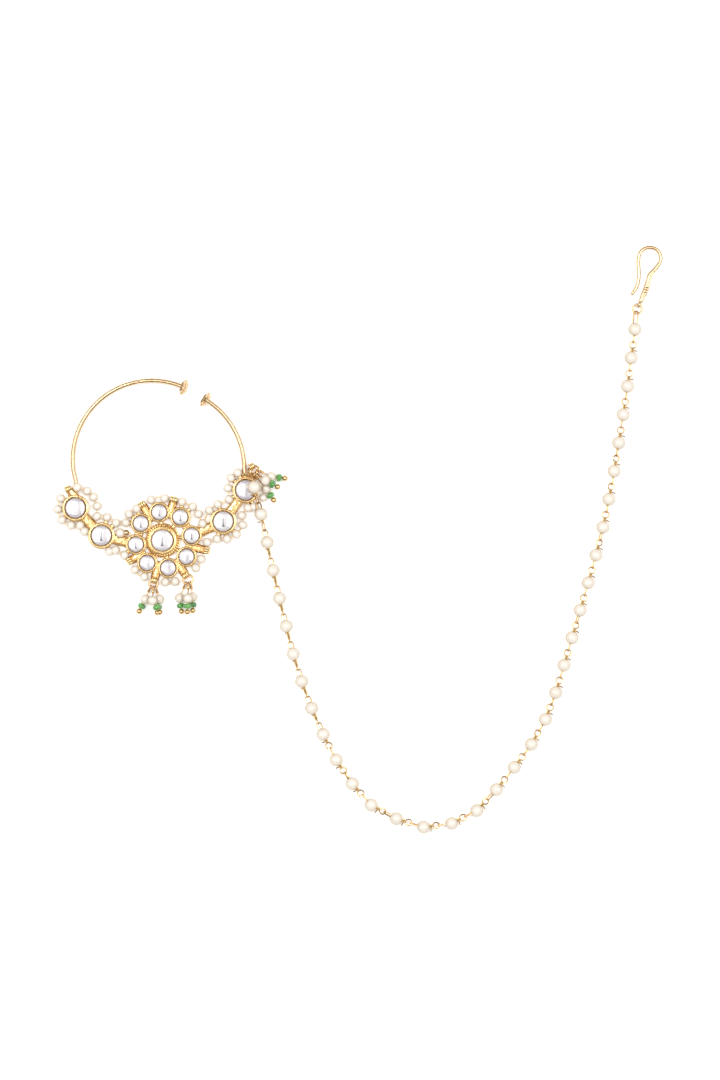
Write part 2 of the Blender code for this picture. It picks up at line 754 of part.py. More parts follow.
settings = setting_table()
make_frame(settings, gold)
make_stones(settings, stone)
make_seed_strings(settings, seed)
rings = jump_rings(settings)
make_jump_rings(rings, gold)
make_drops(rings, pearl)
hook_ring_wire = make_hook(gold)
make_chain(rings, hook_ring_wire, pearl)
for name, meshes, material in fused:
    fuse(name, meshes, material)
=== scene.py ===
import bmesh
import bpy
import numpy as np
from mathutils import Matrix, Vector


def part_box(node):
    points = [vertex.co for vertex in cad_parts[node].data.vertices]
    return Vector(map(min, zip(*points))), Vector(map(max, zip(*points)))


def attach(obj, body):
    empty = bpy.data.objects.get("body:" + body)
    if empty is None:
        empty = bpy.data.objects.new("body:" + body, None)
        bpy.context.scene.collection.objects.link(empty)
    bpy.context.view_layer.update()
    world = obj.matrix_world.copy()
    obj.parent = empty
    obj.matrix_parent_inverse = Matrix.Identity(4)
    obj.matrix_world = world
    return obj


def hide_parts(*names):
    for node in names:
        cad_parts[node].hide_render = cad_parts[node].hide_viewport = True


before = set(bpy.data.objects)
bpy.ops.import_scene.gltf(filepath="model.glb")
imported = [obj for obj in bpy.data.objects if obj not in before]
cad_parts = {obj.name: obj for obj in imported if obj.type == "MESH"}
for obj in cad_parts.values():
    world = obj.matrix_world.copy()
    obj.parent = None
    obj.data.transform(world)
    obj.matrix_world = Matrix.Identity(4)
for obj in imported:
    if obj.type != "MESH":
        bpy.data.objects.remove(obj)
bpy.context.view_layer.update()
mm = 0.001
print("frame loaded:", len(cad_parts), "solids")


def unit(rows):
    return rows / np.linalg.norm(rows, axis=-1, keepdims=True)


# quads of a grid whose columns close on themselves, and whose rows do too where asked
def gridFaces(rows, columns, rowsClose=False):
    i, j = np.meshgrid(np.arange(rows if rowsClose else rows - 1), np.arange(columns), indexing="ij")
    nextI, nextJ = (i + 1) % rows, (j + 1) % columns
    corners = [i * columns + j, i * columns + nextJ, nextI * columns + nextJ, nextI * columns + j]
    return np.stack(corners, -1).reshape(-1, 4)


# angles at even spacing round a circle
def around(count):
    return np.linspace(0, 2 * np.pi, count, endpoint=False)


# profile of (radius, height) turned round z: x = r cos t, y = r sin t, z = h
def turned(profile, steps, closed=False):
    radius, height = np.asarray(profile, float).T
    t = around(steps)
    rows = np.stack([np.outer(radius, np.cos(t)), np.outer(radius, np.sin(t)),
                     np.repeat(height[:, None], steps, 1)], -1)
    return rows.reshape(-1, 3), gridFaces(len(radius), steps, closed)


# section carried along a path: p + r (cos t side + flat sin t top), with side = up x tangent and top = tangent x side
def carried(path, radius, sides=8, up=(0, 0, 1), closed=False, flat=1.0, ridge=0.0):
    path = np.asarray(path, float)
    radius = np.broadcast_to(np.asarray(radius, float), len(path)).copy()
    if closed:
        tangent = unit(np.roll(path, -1, 0) - np.roll(path, 1, 0))
    else:
        tangent = unit(np.gradient(path, axis=0))
        swing = np.radians([90, 60, 30])[:, None]  # three rows round off each end
        start = path[:1] - tangent[:1] * radius[0] * np.sin(swing)
        end = path[-1:] + tangent[-1:] * radius[-1] * np.sin(swing[::-1])
        path = np.vstack([start, path, end])
        tangent = np.vstack([np.repeat(tangent[:1], 3, 0), tangent, np.repeat(tangent[-1:], 3, 0)])
        radius = np.concatenate([radius[0] * np.cos(swing[:, 0]), radius, radius[-1] * np.cos(swing[::-1, 0])])
    side = unit(np.cross(np.asarray(up, float), tangent))
    top = np.cross(tangent, side)
    t = around(sides)
    swell = 1 + ridge * np.clip(np.sin(t), 0, 1) ** 6
    ring = side[:, None] * (np.cos(t) * swell)[:, None] + top[:, None] * (np.sin(t) * swell * flat)[:, None]
    verts = path[:, None] + ring * radius[:, None, None]
    return verts.reshape(-1, 3), gridFaces(len(path), sides, closed)


# ring of wire in the plane of two directions: c + r (cos t a + sin t b), its halves pulled apart along a if stretched
def wireRing(centre, radius, first, second, wire, steps, sides, stretch=0.0):
    t = around(steps) + np.pi / steps
    first, second = np.asarray(first, float), np.asarray(second, float)
    out = radius * np.cos(t) + stretch * np.sign(np.cos(t))
    path = np.asarray(centre, float) + out[:, None] * first + radius * np.sin(t)[:, None] * second
    return carried(path, wire / 2, sides, np.cross(first, second), True)


# coil round the x axis: x runs evenly, y = r cos t, z = r sin t
def coil(start, end, radius, wire, turns, perTurn=10):
    t = np.linspace(0, 2 * np.pi * turns, int(perTurn * turns) + 1)
    path = np.stack([np.linspace(start, end, len(t)), radius * np.cos(t), radius * np.sin(t)], -1)
    return carried(path, wire / 2, 6, up=(1, 0, 0))


# ball: x = r sin a cos t, y = r sin a sin t, z = r cos a, with the poles on z
def ball(radius, steps=20, rows=12, squash=1.0):
    a = np.linspace(np.pi, 0, rows + 1)
    return turned(np.stack([radius * np.sin(a), radius * squash * np.cos(a)], -1), steps)


# smooth curve through rows of points: from b to c a cubic whose slope at each is half the step from a to c and b to d
def smoothThrough(points, pieces=12):
    p = np.asarray(points, float)
    p = np.vstack([2 * p[0] - p[1], p, 2 * p[-1] - p[-2]])
    a, b, c, d = (part[:, None] for part in (p[:-3], p[1:-2], p[2:-1], p[3:]))
    t = (np.arange(pieces) / pieces)[None, :, None]
    curve = 0.5 * (2 * b + (c - a) * t + (2 * a - 5 * b + 4 * c - d) * t ** 2 + (3 * b - a - 3 * c + d) * t ** 3)
    return np.vstack([curve.reshape(-1, p.shape[1]), p[-2:-1]])


# a number of points at even spacing along a curve
def evenlyAlong(curve, count):
    length = np.concatenate([[0], np.cumsum(np.linalg.norm(np.diff(curve, axis=0), axis=1))])
    wanted = np.linspace(0, length[-1], count)
    return np.stack([np.interp(wanted, length, curve[:, axis]) for axis in range(curve.shape[1])], -1)


# 4x4 matrices at some points, x along one direction and z near another
def placedAt(points, xAxis, near=(0, 0, 1)):
    points = np.atleast_2d(np.asarray(points, float))
    x = unit(np.broadcast_to(np.asarray(xAxis, float), points.shape))
    y = unit(np.cross(np.broadcast_to(np.asarray(near, float), points.shape), x))
    matrices = np.zeros((len(points), 4, 4))
    matrices[:, :3, 0], matrices[:, :3, 1], matrices[:, :3, 2] = x, y, np.cross(x, y)
    matrices[:, :3, 3] = points
    matrices[:, 3, 3] = 1
    return matrices


# 4x4 matrices that roll about x by some angles in degrees
def rolled(angles):
    angles = np.radians(np.atleast_1d(np.asarray(angles, float)))
    matrices = np.repeat(np.eye(4)[None], len(angles), 0)
    matrices[:, 1, 1] = matrices[:, 2, 2] = np.cos(angles)
    matrices[:, 1, 2], matrices[:, 2, 1] = -np.sin(angles), np.sin(angles)
    return matrices


# one shape repeated by each matrix
def repeated(shape, matrices):
    verts, faces = shape
    moved = np.einsum("nij,vj->nvi", matrices[:, :3, :3], verts) + matrices[:, None, :3, 3]
    faces = faces[None] + (np.arange(len(matrices)) * len(verts))[:, None, None]
    return moved.reshape(-1, 3), faces.reshape(-1, 4)


def joined(*shapes):
    offsets = np.cumsum([0] + [len(verts) for verts, faces in shapes[:-1]])
    return (np.vstack([verts for verts, faces in shapes]),
            np.vstack([faces + offset for (verts, faces), offset in zip(shapes, offsets)]))


def shifted(shape, offset):
    return shape[0] + np.asarray(offset, float), shape[1]


# lays a shape turned round z along x instead
def laidAlongX(shape):
    verts, faces = shape
    return verts[:, [2, 0, 1]], faces


def polar(centre, radius, degrees):
    turn = np.radians(degrees)
    return np.stack(np.broadcast_arrays(centre[0] + radius * np.cos(turn), centre[1] + radius * np.sin(turn)), -1)


def heading(turn, dip=0.0):
    turn, dip = np.radians(turn), np.radians(dip)
    return np.array([np.cos(turn) * np.cos(dip), np.sin(turn) * np.cos(dip), -np.sin(dip)])


# gives a piece's mesh its own map, from a row of (u, v) for each vertex
def mapFace(mesh, name, rows):
    corners = np.empty(len(mesh.loops), int)
    mesh.loops.foreach_get("vertex_index", corners)
    mesh.uv_layers.new(name=name).data.foreach_set("uv", rows[corners].ravel())


def linked(name, data):
    made = bpy.data.objects.new(name, data)
    bpy.context.scene.collection.objects.link(made)
    return made


def makePiece(name, shape, material, replaced=("gold_frame",), sharp=40.0):
    verts, faces = shape
    mesh = bpy.data.meshes.new(name)
    mesh.from_pydata(verts.tolist(), [], faces.tolist())
    form = bmesh.new()
    form.from_mesh(mesh)
    bmesh.ops.remove_doubles(form, verts=form.verts, dist=1e-7)  # closes the poles
    form.to_mesh(mesh)
    form.free()
    mesh.materials.append(material)
    mesh.shade_smooth()
    mesh.set_sharp_from_angle(angle=np.radians(sharp))
    # pearls get a map of their normals' y and z, from which painted shade is laid towards the underside
    if material in (pearlSkin, seedSkin):
        normals = np.empty(len(mesh.vertices) * 3)
        mesh.vertex_normals.foreach_get("vector", normals)
        mapFace(mesh, "pearlFace", normals.reshape(-1, 3)[:, 1:] * 0.5 + 0.5)
    piece = linked(name, mesh)
    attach(piece, "root")
    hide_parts(*replaced)
    return piece


class Knob:  # a socket that adds its Math nodes when it is calculated with
    def __init__(self, finish, socket):
        self.finish = finish
        self.socket = socket

    def sum(self, operation, *values):
        return self.finish.node("ShaderNodeMath", {"operation": operation}, dict(enumerate(values)))

    def __add__(self, other):
        return self.sum("ADD", self, other)

    def __sub__(self, other):
        return self.sum("SUBTRACT", self, other)

    def __rsub__(self, other):
        return self.sum("SUBTRACT", other, self)

    def __mul__(self, other):
        return self.sum("MULTIPLY", self, other)

    def __truediv__(self, other):
        return self.sum("DIVIDE", self, other)

    def __pow__(self, other):
        return self.sum("POWER", self, other)

    def size(self):
        return self.sum("ABSOLUTE", self)

    def held(self):  # kept between 0 and 1
        return self.finish.node("ShaderNodeClamp", {}, {0: self})


class Finish:  # one material and the nodes that feed its shader
    def __init__(self, name, **fixed):
        self.material = bpy.data.materials.new(name)
        self.material.use_nodes = True
        self.tree = self.material.node_tree
        self.shader = self.tree.nodes["Principled BSDF"]
        for socket, value in fixed.items():
            self.shader.inputs[socket.replace("_", " ")].default_value = value

    def node(self, kind, settings=None, sockets=None, output=0):
        made = self.tree.nodes.new(kind)
        for key, value in (settings or {}).items():
            setattr(made, key, value)
        for key, value in (sockets or {}).items():
            if isinstance(value, Knob):
                self.tree.links.new(value.socket, made.inputs[key])
            else:
                made.inputs[key].default_value = value
        return Knob(self, made.outputs[output])

    def place(self):
        return self.node("ShaderNodeTexCoord", output="Object")

    def axis(self, vector, name):
        return self.node("ShaderNodeSeparateXYZ", {}, {0: vector}, name)

    def noise(self, scale, detail):  # scale in cells to a metre
        return self.node("ShaderNodeTexNoise", {}, {"Vector": self.place(), "Scale": scale, "Detail": detail})

    def blend(self, amount, bright, deep):  # of two colours
        colours = {key: value if isinstance(value, Knob) else (*value, 1) for key, value in ((6, bright), (7, deep))}
        return self.node("ShaderNodeMix", {"data_type": "RGBA"}, {0: amount, **colours}, 2)

    def feed(self, socket, value):
        self.tree.links.new(value.socket, self.shader.inputs[socket])

    def bump(self, height, depth):
        self.feed("Normal", self.node("ShaderNodeBump", {}, {"Strength": 1.0, "Distance": depth, "Height": height}))


goldFinish = {
    "castGold": {"bright": (0.97, 0.73, 0.40), "deep": (0.83, 0.56, 0.23)},
    "polishedGold": {"bright": (0.74, 0.54, 0.33), "deep": (0.60, 0.40, 0.19)},
    "wireGold": {"bright": (0.74, 0.50, 0.26), "deep": (0.60, 0.36, 0.13)},
    # recess is the colour of painted shade laid on the low parts of the gold below recessHeight
    "recess": (0.42, 0.21, 0.05), "recessHeight": 1.6 * mm, "roughness": 0.13, "roughnessSpread": 0.16,
    "waviness": 0.035 * mm, "cloudScale": 420, "blurScale": 900, "rippleScale": 1300, "waveScale": 380,
}


def makeGold(name, depthShade):
    look = goldFinish
    gold = Finish(name, Metallic=1.0)
    colour = gold.blend(gold.noise(look["cloudScale"], 3) ** 2.0, **look[name])
    if depthShade:  # the low parts between settings get painted shade, darker the lower they lie
        height = gold.axis(gold.place(), "Z") / look["recessHeight"]
        colour = gold.blend((1 - height).held() * depthShade, colour, look["recess"])
    gold.feed("Base Color", colour)
    gold.feed("Roughness", gold.noise(look["blurScale"], 2) * look["roughnessSpread"] + look["roughness"])
    gold.bump(gold.noise(look["rippleScale"], 2) + gold.noise(look["waveScale"], 1) * 2.0, look["waviness"])
    return gold.material


pearlFinish = {
    "skins": {
        "pearlSkin": {"light": (0.88, 0.82, 0.75), "warm": (0.79, 0.71, 0.60), "underShade": (0.50, 0.36, 0.18)},
        "seedPearlSkin": {"light": (0.9, 0.84, 0.78), "warm": (0.82, 0.75, 0.65), "underShade": (0.52, 0.36, 0.17)},
    },
    "cloudScale": 260, "grainScale": 1800, "grainDepth": 0.006 * mm,
    "underStart": 2.5, "underSlope": 2.7, "underPower": 1.3, "coatStart": 0.62, "coatSlope": 4.0,
}


# cloudy nacre with painted shade and a painted warm reflection of the gold deepening towards the underside and rim,
# and coated on top, read from the pearl's own map, whose v is 1 on top and 0 below
def makePearl(name, light, warm, underShade):
    look = pearlFinish
    pearl = Finish(name, Roughness=0.3, Coat_Roughness=0.04, Specular_IOR_Level=0.35)
    colour = pearl.blend(pearl.noise(look["cloudScale"], 2), light, warm)
    up = pearl.axis(pearl.node("ShaderNodeUVMap", {"uv_map": "pearlFace"}), "Y")
    # painted shade and painted warm reflection of the gold, growing towards the underside and rim
    depth = (look["underStart"] - up * look["underSlope"]).held() ** look["underPower"]
    colour = pearl.blend(depth, colour, underShade)
    pearl.feed("Base Color", colour)
    pearl.feed("Coat Weight", ((up - look["coatStart"]) * look["coatSlope"]).held())
    pearl.bump(pearl.noise(look["grainScale"], 2), look["grainDepth"])
    return pearl.material


glassFinish = {
    "bright": (0.13, 0.5, 0.07), "deep": (0.01, 0.15, 0.02), "cloudScale": 700, "waveScale": 900,
    "waviness": 0.02 * mm,
}


def makeGreenGlass():
    look = glassFinish
    glass = Finish("greenGlass", Roughness=0.08, Coat_Weight=1.0, Coat_Roughness=0.03, Specular_IOR_Level=0.8)
    clouds = (glass.noise(look["cloudScale"], 1) * 2.0 - 0.5).held()
    glass.feed("Base Color", glass.blend(clouds, look["bright"], look["deep"]))
    glass.bump(glass.noise(look["waveScale"], 1), look["waviness"])
    return glass.material


stoneFinish = {
    "silver": (0.84, 0.81, 0.79), "lavender": (0.55, 0.52, 0.58), "darkStreak": (0.08, 0.08, 0.12),
    "kinds": {"streakedStone": {"streakStrength": 0.85, "speckle": 0.45, "cells": 420.0},
              "speckledStone": {"streakStrength": 0.2, "speckle": 0.85, "cells": 1000.0}},
    "streaked": ("centre", "petal_1", "petal_2", "petal_3", "petal_4", "petal_5", "left_inner", "right_inner"),
    # where on v each painted shade starts, and its strength
    "lowShade": (0.62, 0.5), "topShade": (0.74, 1.6),
    "streakTop": 0.68, "streakBottom": 0.22, "streakWidth": 0.032, "footWidth": 0.11, "streakBlur": 1.6,
    "streakEnds": (8.0, 14.0), "edge": (0.36, 0.15, 0.02), "edgeStart": 0.435, "edgeSlope": 22.0,
}


# a foiled stone: silver with cloudy lavender facets and painted shade towards its top and bottom, a painted dark
# reflection streak that widens towards its foot, and painted shade with a painted reflection of the rim's brown at
# the stone's edge, read from the stone's own face map, whose u and v run from 0 to 1 across it
def makeFoiledStone(name, streakStrength, speckle, cells):
    look = stoneFinish
    stone = Finish(name, Metallic=0.35, Roughness=0.22, Coat_Weight=0.6, Coat_Roughness=0.03)
    face = stone.node("ShaderNodeUVMap", {"uv_map": "stoneFace"})
    u, v = stone.axis(face, "X"), stone.axis(face, "Y")
    facets = stone.node("ShaderNodeTexVoronoi", {}, {"Vector": stone.place(), "Scale": cells}, "Color")
    (lowStart, lowShadeStrength), (topStart, topShadeStrength) = look["lowShade"], look["topShade"]
    # random lavender speckle, plus painted shade towards the bottom and top of the face
    speckleAndShade = stone.node("ShaderNodeSeparateColor", {}, {0: facets}) * speckle + (lowStart - v).held() * lowShadeStrength
    speckleAndShade = speckleAndShade + (v - topStart).held() * topShadeStrength
    colour = stone.blend(speckleAndShade.held(), look["silver"], look["lavender"])
    out = ((u - 0.5).size() ** 2.0 + (v - 0.5).size() ** 2.0) ** 0.5
    # painted shade and a painted reflection of the rim's brown at the stone's edge
    colour = stone.blend(((out - look["edgeStart"]) * look["edgeSlope"]).held(), colour, look["edge"])
    # painted dark reflection streak down the middle of the face, widening towards its foot
    depth = (look["streakTop"] - v) / (look["streakTop"] - look["streakBottom"])  # 0 at the painted streak's top, 1 at its foot
    width = depth ** 4.0 * look["footWidth"] + look["streakWidth"]
    across = (look["streakBlur"] - (u - 0.5).size() / width * look["streakBlur"]).held()
    topEnd, footEnd = look["streakEnds"]
    along = (depth * topEnd).held() * ((1.0 - depth) * footEnd).held()
    colour = stone.blend(across * along * streakStrength, colour, look["darkStreak"])
    stone.feed("Base Color", colour)
    return stone.material


polished = makeGold("polishedGold", 0.0)
wireGold = makeGold("wireGold", 0.0)
# castGold's 0.65 is the strength of its painted shade in the low parts
castGold = makeGold("castGold", 0.65)
pearlSkin, seedSkin = (makePearl(name, **look) for name, look in pearlFinish["skins"].items())
greenGlass = makeGreenGlass()
stones = {name: makeFoiledStone(name, **kind) for name, kind in stoneFinish["kinds"].items()}
print("finishes made")


setting = {
    "clearance": 0.15 * mm, "wall": 0.65 * mm, "petalWall": 0.5 * mm, "height": 2.5 * mm, "floor": 0.9 * mm,
    "strapBottom": 0.2 * mm, "strapTop": 1.2 * mm, "plateRadius": 5.35 * mm,
    "plateFlange": 0.15 * mm, "lipSpread": 0.08 * mm,
    # the lip's two edges and the groove's end, as shares of the way from the stone to the rim
    "lipShares": (0.2, 0.56, 0.66),
    "ropeRadius": 4.72 * mm, "ropeStrand": 0.31 * mm, "ropeTwists": 19, "ropeHeight": 1.4 * mm,
    "ropeFill": 0.95, "twistSteps": 10,
    "petalRing": (0.45 * mm, 0.1 * mm), "petalRadius": 8.8 * mm, "firstPetal": 9.0,
}

settings = {}  # name: centre, stone radius, rim radius, height of the stone's top
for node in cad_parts:
    if node.startswith("stone_"):
        low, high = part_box(node)
        name = node.removeprefix("stone_")
        radius = (high.x - low.x) / 2
        wall = setting["petalWall"] if name.startswith("petal") else setting["wall"]
        centre = np.array([(low.x + high.x) / 2, (low.y + high.y) / 2])
        settings[name] = (centre, radius, radius + setting["clearance"] + wall, high.z)


# rows of (radius, way out from it in mm, height in mm), turned round z
def profiled(rows, steps):
    return turned([(radius + out * mm, height * mm) for radius, out, height in rows], steps)


# cup with a lip round the stone, a groove and a rounded flange outside it
def bezelShape(radius, rim, steps):
    top, floor = setting["height"] / mm, setting["floor"] / mm
    inner, lip, outer = (radius + (rim - radius) * share for share in setting["lipShares"])
    rim += setting["lipSpread"]
    return profiled([
        (0, 0, 0), (rim, -0.3, 0), (rim, -0.08, 0.12), (rim, -0.04, 0.5), (rim, -0.1, 1.15), (rim, -0.03, 1.4),
        (rim, 0, 1.9), (rim, -0.03, 2.03), (rim, -0.1, 2.1), (outer, 0.06, 2.14), (outer, 0, 2.08), (outer, 0, 1.5),
        (lip, 0, 1.5), (lip, 0, top - 0.1), (lip, -0.05, top - 0.02), (lip, -0.12, top),
        (inner, 0.08, top - 0.01), (inner, 0.02, top - 0.06), (inner, 0, 1.0), (inner, -0.1, floor), (0, 0, floor),
    ], steps)


def makeSettings():
    cups = [shifted(bezelShape(radius, rim, 48), (*centre, 0)) for centre, radius, rim, top in settings.values()]
    edge = setting["plateRadius"] + setting["plateFlange"]
    plate = profiled([
        (0, 0, 0.03), (edge, -0.3, 0.03), (edge, -0.05, 0.15), (edge, 0, 0.5), (edge, -0.1, 0.9), (edge, -0.5, 1.05),
        (0, 3.9, 1.05), (0, 0, 1.0),
    ], 64)
    makePiece("goldSettings", joined(*cups, plate), castGold)


# two strands wound round a circle: r = R + a cos(n t), z = h + a sin(n t), the second half a turn on
def makeRope():
    strand = setting["ropeStrand"]
    t = around(setting["ropeTwists"] * setting["twistSteps"])
    strands = []
    for phase in (0, np.pi):
        wind = t * setting["ropeTwists"] + phase
        radius = setting["ropeRadius"] + strand * np.cos(wind)
        path = np.stack([radius * np.cos(t), radius * np.sin(t), setting["ropeHeight"] + strand * np.sin(wind)], -1)
        strands.append(carried(path, strand * setting["ropeFill"], 8, closed=True))
    makePiece("goldRope", joined(*strands), castGold)


stoneCut = {
    "facets": 16, "inset": 0.99, "gap": 0.1 * mm, "sharp": 6.0,
    "rows": [(1.0, 0.6), (1.0, 0.7), (0.87, 0.84), (0.68, 0.93), (0.46, 0.975), (0.22, 0.995)],
}


# low faceted dome: rows of (share of the radius, share of the height above the cup's floor), every other row turned
# by half a facet, over a point towards the foil
def makeStones():
    for name, (centre, radius, rim, top) in settings.items():
        facets = stoneCut["facets"]
        t = np.arange(facets) * 2 * np.pi / facets
        floor = setting["floor"] + stoneCut["gap"]
        rows = [np.zeros((facets, 3)) + (0, 0, floor)]
        for number, (out, up) in enumerate(stoneCut["rows"]):
            turn = t + (number % 2) * np.pi / facets
            out = radius * out * stoneCut["inset"]
            rows.append(np.stack([out * np.cos(turn), out * np.sin(turn),
                                  np.full(facets, floor + (top - floor) * up)], -1))
        rows.append(np.zeros((facets, 3)) + (0, 0, top))
        verts = np.vstack(rows)
        shape = shifted((verts, gridFaces(len(rows), facets)), (*centre, 0))
        finish = stones["streakedStone" if name in stoneFinish["streaked"] else "speckledStone"]
        piece = makePiece(f"foiledStone_{name}", shape, finish, [f"stone_{name}"], stoneCut["sharp"])
        mesh = piece.data
        places = np.empty(len(mesh.vertices) * 3)
        mesh.vertices.foreach_get("co", places)
        mapFace(mesh, "stoneFace", (places.reshape(-1, 3)[:, :2] - centre) / radius * 0.5 + 0.5)


makeSettings()
makeRope()
makeStones()
print("settings, rope and stones made")


straps = {
    "strapWidth": 1.3 * mm, "webWidth": 2.7 * mm, "barrelRing": 12.9 * mm, "barrelOuter": 1.15 * mm,
    "barrelHole": 0.66 * mm, "barrelLength": 1.8 * mm, "barrelHeight": 1.25 * mm, "grain": 0.36 * mm,
    "bandShares": (0.86, 0.14), "barrelEnd": 0.8, "stemStart": 0.92, "longBarrel": 1.2,
    "sideStrapWidth": 3.4 * mm, "sideStrapTop": 1.15 * mm, "railPlace": 1.3 * mm, "railWidth": 0.9 * mm,
    "railTop": 1.6 * mm, "startBite": 0.3 * mm, "endBite": 0.25 * mm, "petalStrap": 0.8, "jointHalf": 0.75 * mm,
    # grains on stems from a width up: pitch, side place and its change in mm, and start
    "grainedStem": 1.5 * mm, "grainPitch": 0.6 * mm, "grainSide": 0.68, "grainShift": 0.14, "grainStart": 0.3,
    # grains on rails: places along them, their shift from side to side, and how far out they lie
    "railGrains": (0.25, 0.7), "railGrainShift": 0.08, "railGrainSide": 0.35,
    # x and y of both ends, width and height in mm of the bars over the feet of the hoop wires
    "collars": [(-27.2, 13.6, -28.3, 15.3, 2.6, 2.0), (25.4, 20.4, 29.6, 19.6, 1.5, 2.5)],
    "sideStraps": [("left_inner", "petal_5"), ("left_outer", "left_inner"),
                   ("right_inner", "petal_1"), ("right_outer", "right_inner")],
    # gap between petals: how far the barrel lies outside its ring, and the jump ring's radius, in mm
    "medallionBarrels": {2: (0.1, 0), 3: (0.1, 0), 5: (-0.4, 0), 6: (0, 1.35), 7: (0, 1.55), 8: (0.8, 0)},
    # setting, angle and distance from its middle, turn, and width of the stem
    "settingBarrels": [
        ("left_outer", 112.0, 6.4 * mm, 22.0, 1.5 * mm), ("right_outer", 75.4, 7.6 * mm, 22.0, 0.9 * mm),
    ],
}


# flat bar with round edges between two points
def strapShape(start, end, width, top=setting["strapTop"]):
    middle = (setting["strapBottom"] + top) / 2
    thick = (top - setting["strapBottom"]) / width
    share = np.linspace(0, 1, 5)[:, None]
    path = np.hstack([start + (end - start) * share, np.full((5, 1), middle)])
    return carried(path, width / 2, 12, flat=thick)


# barrel along x with a bore, three bands and grooves between them: radius R (a + b |cos(1.5 pi x)|)
def barrelShape(length):
    half, out, hole = length / 2, straps["barrelOuter"], straps["barrelHole"]
    groove, band = straps["bandShares"]
    bands = [(out * (groove + band * abs(np.cos(x * 1.5 * np.pi))), half * x) for x in np.linspace(-1, 1, 25)]
    end = out * straps["barrelEnd"]
    return laidAlongX(turned([(hole, -half), (end, -half), *bands, (end, half), (hole, half)], 20, True))


# centre of the barrel outside a gap between petals, and the gap's direction
def gapBarrel(gap, out):
    turn = setting["firstPetal"] + (gap - 0.5) * 45
    return polar(setting["petalRing"], straps["barrelRing"] + out * mm, turn), turn


# each barrel's centre, the point its stem comes from, turn, length and stem width
def barrelPlaces():
    places = []
    for gap, (out, ring) in straps["medallionBarrels"].items():
        barrel, turn = gapBarrel(gap, out)
        root = polar(setting["petalRing"], setting["petalRadius"] * straps["stemStart"], turn)
        length = straps["barrelLength"] * (1.0 if ring else straps["longBarrel"])
        places.append((barrel, root, turn + 90, length, straps["webWidth"]))
    for name, angle, distance, turn, width in straps["settingBarrels"]:
        centre, radius, rim, top = settings[name]
        places.append((polar(centre, distance, angle), polar(centre, rim - setting["wall"] / 2, angle), turn,
                       straps["barrelLength"], width))
    return places


def makeStraps():
    work = straps
    ring = np.array(setting["petalRing"])
    shapes = []
    petals = [settings[f"petal_{number}"] for number in range(1, 9)]
    for number, (centre, radius, rim, top) in enumerate(petals):
        inner = centre - unit(centre - ring) * (rim - work["endBite"])
        shapes.append(strapShape(inner * work["petalStrap"], inner, work["strapWidth"]))
        turn = setting["firstPetal"] + (number + 0.5) * 45
        joint = [polar(ring, setting["petalRadius"] * np.cos(np.pi / 8) + out, turn)
                 for out in (-work["jointHalf"], work["jointHalf"])]
        shapes.append(strapShape(*joint, work["strapWidth"]))
    grains = []
    chance = np.random.default_rng(3)
    for centre, toward, turn, length, width in barrelPlaces():
        out = unit(centre - toward)
        shapes.append(strapShape(toward, centre - out * work["barrelHole"], width))
        across = np.array([-out[1], out[0]])
        steps = int(np.linalg.norm(centre - toward) / work["grainPitch"]) - 1
        for step in range(steps if width > work["grainedStem"] else 0):
            for side in (-1, 1):
                side = side * (work["grainSide"] + chance.uniform(-work["grainShift"], work["grainShift"])) * mm
                along = step + work["grainStart"] + chance.uniform(0, work["grainStart"])
                grains.append(toward + out * along * work["grainPitch"] + across * side)
    for first, second in work["sideStraps"]:
        (start, r1, rim1, t1), (end, r2, rim2, t2) = settings[first], settings[second]
        run = unit(end - start)
        across = np.array([-run[1], run[0]])
        start, end = start + run * (rim1 - work["startBite"]), end - run * (rim2 - work["endBite"])
        shapes.append(strapShape(start, end, work["sideStrapWidth"], work["sideStrapTop"]))
        for side in (-1, 1):
            shift = across * side * work["railPlace"]
            shapes.append(strapShape(start + shift, end + shift, work["railWidth"], work["railTop"]))
            for share in work["railGrains"]:
                share += side * work["railGrainShift"]
                grains.append(start + (end - start) * share + shift * work["railGrainSide"])
    for x1, y1, x2, y2, width, top in work["collars"]:
        shapes.append(strapShape(np.array([x1, y1]) * mm, np.array([x2, y2]) * mm, width * mm, top * mm))
    grains = np.array(grains)
    grains = np.hstack([grains, np.full((len(grains), 1), setting["strapTop"])])
    shapes.append(repeated(ball(work["grain"], 10, 6), placedAt(grains, (1, 0, 0))))
    makePiece("goldStraps", joined(*shapes), castGold)


def makeBarrels():
    shapes = [repeated(barrelShape(length), placedAt((*centre, straps["barrelHeight"]), heading(turn)))
              for centre, toward, turn, length, width in barrelPlaces()]
    makePiece("goldBarrels", joined(*shapes), castGold)


hoop = {
    "wire": 1.45 * mm, "ridge": 0.1, "steps": 90, "keptSteps": 6, "lift": 0.2 * mm, "rootLift": 0.1 * mm,
    # a lean is the flower's in degrees, a root the setting and the angle on its rim
    "left": {"centre": (-3.26 * mm, 25.07 * mm), "radius": 24.76 * mm, "angles": (196.0, 66.0), "lean": 20,
             "root": ("left_outer", 90)},
    "right": {"centre": (0.41 * mm, 22.47 * mm), "radius": 25.09 * mm, "angles": (0.0, 58.5), "lean": -20,
              "root": ("right_outer", 94)},
    "seam": 99.6, "seamDepth": 0.3, "seamWidth": 0.6, "flowerRadius": 2.7 * mm, "flowerThickness": 0.9 * mm,
    "lobes": 6, "lobePower": 0.7, "waist": 0.08, "body": 0.8, "swell": 0.2, "knobHeight": 0.35, "knobWidth": 0.22,
}


